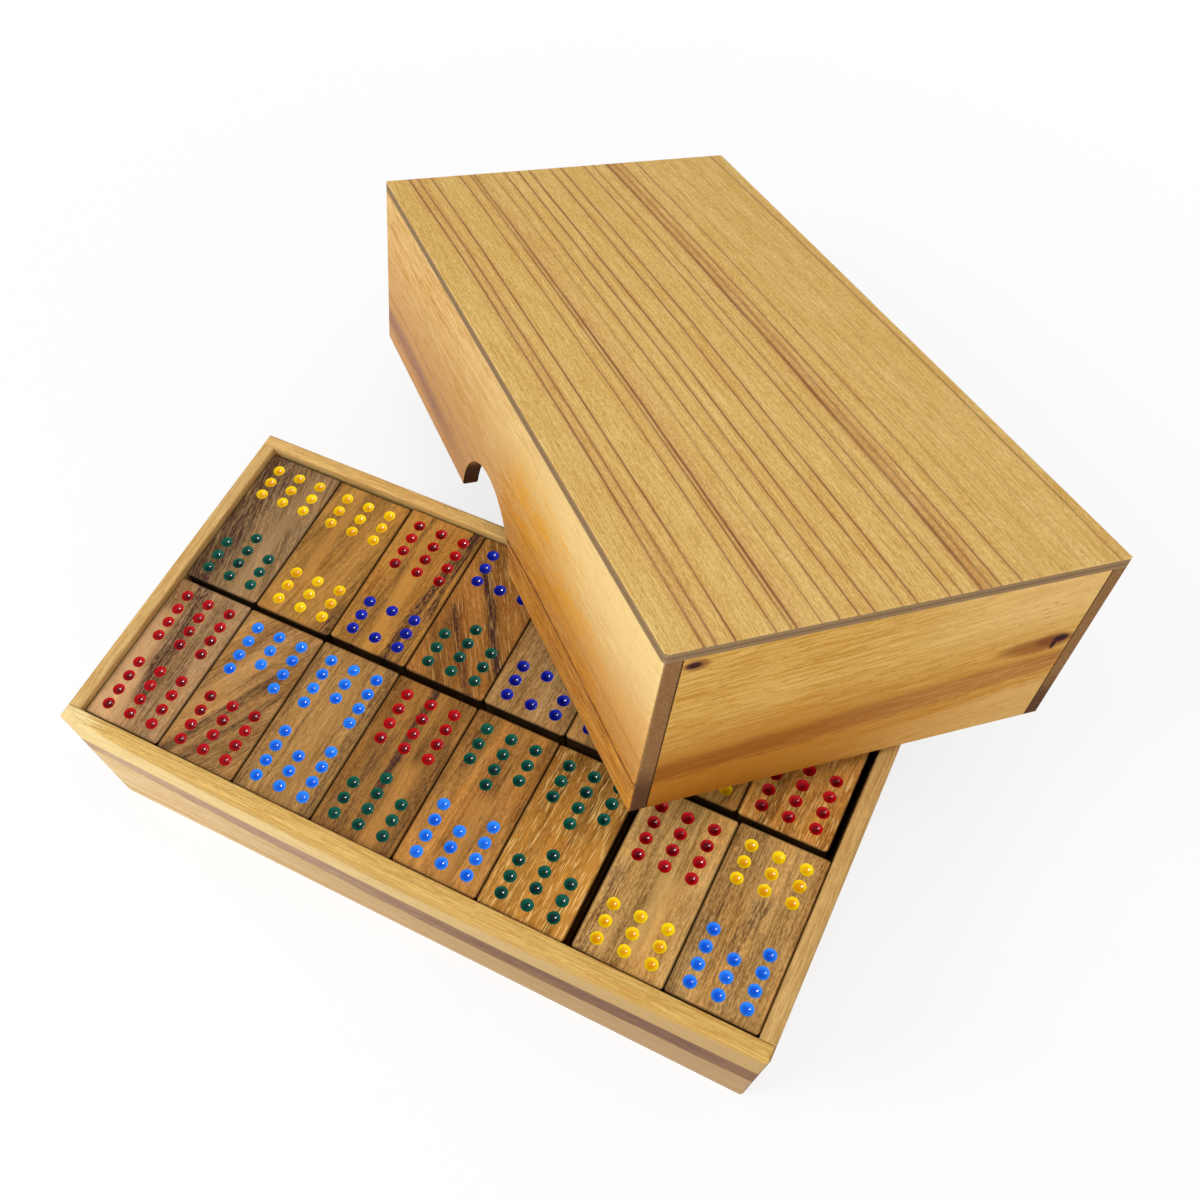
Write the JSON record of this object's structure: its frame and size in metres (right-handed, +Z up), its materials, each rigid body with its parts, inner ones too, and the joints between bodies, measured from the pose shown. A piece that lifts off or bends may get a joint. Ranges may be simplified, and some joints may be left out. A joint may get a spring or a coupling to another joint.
{
  "type": "domino storage box",
  "caption": "Wooden box of dominoes: an open tray packed with painted-pip dominoes, and its telescoping lid with half-round finger notches leaning across it.",
  "frame": {"origin": "middle of the tray's underside, on the surface that it stands on", "axes": "+X along the tray to its right end, +Y to its back wall, +Z up"},
  "size_m": [0.2494, 0.2883, 0.1237],
  "materials": {
    "box_wood": "satin lacquer over honey-coloured hardwood",
    "panel_ply": "satin lacquer over striped veneer on thin plywood",
    "domino_wood": "satin, fine open-pored hardwood of mixed tone",
    "pip_red": "gloss enamel in the drilled pips",
    "pip_light_blue": "gloss enamel in the drilled pips",
    "pip_green": "gloss enamel in the drilled pips",
    "pip_yellow": "gloss enamel in the drilled pips",
    "pip_navy": "gloss enamel in the drilled pips",
    "pip_orange": "gloss enamel in the drilled pips",
    "pip_purple": "gloss enamel in the drilled pips",
    "pip_turquoise": "gloss enamel in the drilled pips",
    "pip_brown": "gloss enamel in the drilled pips",
    "pip_pink": "gloss enamel in the drilled pips",
    "pip_grey": "gloss enamel in the drilled pips",
    "pip_white": "gloss enamel in the drilled pips"
  },
  "bodies": {
    "tray": {"tray_floor": "panel_ply", "tray_front_wall": "box_wood", "tray_back_wall": "box_wood", "tray_left_end": "box_wood", "tray_right_end": "box_wood", "layer_1_front_dominoes": "domino_wood", "layer_2_front_dominoes": "domino_wood", "layer_3_front_dominoes": "domino_wood", "layer_4_front_dominoes": "domino_wood", "layer_5_front_dominoes": "domino_wood", "layer_1_back_dominoes": "domino_wood", "layer_2_back_dominoes": "domino_wood", "layer_3_back_dominoes": "domino_wood", "layer_4_back_dominoes": "domino_wood", "layer_5_back_dominoes": "domino_wood"},
    "lid": {"lid_top_panel": "panel_ply", "lid_left_wall": "box_wood", "lid_right_wall": "box_wood", "lid_front_end": "box_wood", "lid_back_end": "box_wood"},
    "domino_front_1": {"domino_front_1": "domino_wood"},
    "domino_front_2": {"domino_front_2": "domino_wood"},
    "domino_front_3": {"domino_front_3": "domino_wood"},
    "domino_front_4": {"domino_front_4": "domino_wood"},
    "domino_front_5": {"domino_front_5": "domino_wood"},
    "domino_front_6": {"domino_front_6": "domino_wood"},
    "domino_front_7": {"domino_front_7": "domino_wood"},
    "domino_front_8": {"domino_front_8": "domino_wood"},
    "domino_back_1": {"domino_back_1": "domino_wood"},
    "domino_back_2": {"domino_back_2": "domino_wood"},
    "domino_back_3": {"domino_back_3": "domino_wood"},
    "domino_back_4": {"domino_back_4": "domino_wood"},
    "domino_back_5": {"domino_back_5": "domino_wood"},
    "domino_back_6": {"domino_back_6": "domino_wood"},
    "domino_back_7": {"domino_back_7": "domino_wood"},
    "domino_back_8": {"domino_back_8": "domino_wood"}
  },
  "joints": [
    {"name": "lid_lift", "type": "slide", "parent": "tray", "child": "lid", "axis": [0, 0, 1], "range_m": [0, 0.16]},
    {"name": "domino_front_1_lift", "type": "slide", "parent": "tray", "child": "domino_front_1", "axis": [0, 0, 1], "range_m": [0, 0.04]},
    {"name": "domino_front_2_lift", "type": "slide", "parent": "tray", "child": "domino_front_2", "axis": [0, 0, 1], "range_m": [0, 0.04]},
    {"name": "domino_front_3_lift", "type": "slide", "parent": "tray", "child": "domino_front_3", "axis": [0, 0, 1], "range_m": [0, 0.04]},
    {"name": "domino_front_4_lift", "type": "slide", "parent": "tray", "child": "domino_front_4", "axis": [0, 0, 1], "range_m": [0, 0.04]},
    {"name": "domino_front_5_lift", "type": "slide", "parent": "tray", "child": "domino_front_5", "axis": [0, 0, 1], "range_m": [0, 0.04]},
    {"name": "domino_front_6_lift", "type": "slide", "parent": "tray", "child": "domino_front_6", "axis": [0, 0, 1], "range_m": [0, 0.04]},
    {"name": "domino_front_7_lift", "type": "slide", "parent": "tray", "child": "domino_front_7", "axis": [0, 0, 1], "range_m": [0, 0.04]},
    {"name": "domino_front_8_lift", "type": "slide", "parent": "tray", "child": "domino_front_8", "axis": [0, 0, 1], "range_m": [0, 0.04]},
    {"name": "domino_back_1_lift", "type": "slide", "parent": "tray", "child": "domino_back_1", "axis": [0, 0, 1], "range_m": [0, 0.04]},
    {"name": "domino_back_2_lift", "type": "slide", "parent": "tray", "child": "domino_back_2", "axis": [0, 0, 1], "range_m": [0, 0.04]},
    {"name": "domino_back_3_lift", "type": "slide", "parent": "tray", "child": "domino_back_3", "axis": [0, 0, 1], "range_m": [0, 0.04]},
    {"name": "domino_back_4_lift", "type": "slide", "parent": "tray", "child": "domino_back_4", "axis": [0, 0, 1], "range_m": [0, 0.04]},
    {"name": "domino_back_5_lift", "type": "slide", "parent": "tray", "child": "domino_back_5", "axis": [0, 0, 1], "range_m": [0, 0.04]},
    {"name": "domino_back_6_lift", "type": "slide", "parent": "tray", "child": "domino_back_6", "axis": [0, 0, 1], "range_m": [0, 0.04]},
    {"name": "domino_back_7_lift", "type": "slide", "parent": "tray", "child": "domino_back_7", "axis": [0, 0, 1], "range_m": [0, 0.04]},
    {"name": "domino_back_8_lift", "type": "slide", "parent": "tray", "child": "domino_back_8", "axis": [0, 0, 1], "range_m": [0, 0.04]}
  ],
  "couplings": [
    {"joint": "domino_back_4_lift", "follows": "lid_lift", "ratio": 0.25},
    {"joint": "domino_back_5_lift", "follows": "lid_lift", "ratio": 0.25},
    {"joint": "domino_back_6_lift", "follows": "lid_lift", "ratio": 0.25},
    {"joint": "domino_back_7_lift", "follows": "lid_lift", "ratio": 0.25},
    {"joint": "domino_back_8_lift", "follows": "lid_lift", "ratio": 0.25},
    {"joint": "domino_front_6_lift", "follows": "lid_lift", "ratio": 0.25},
    {"joint": "domino_front_7_lift", "follows": "lid_lift", "ratio": 0.25}
  ]
}
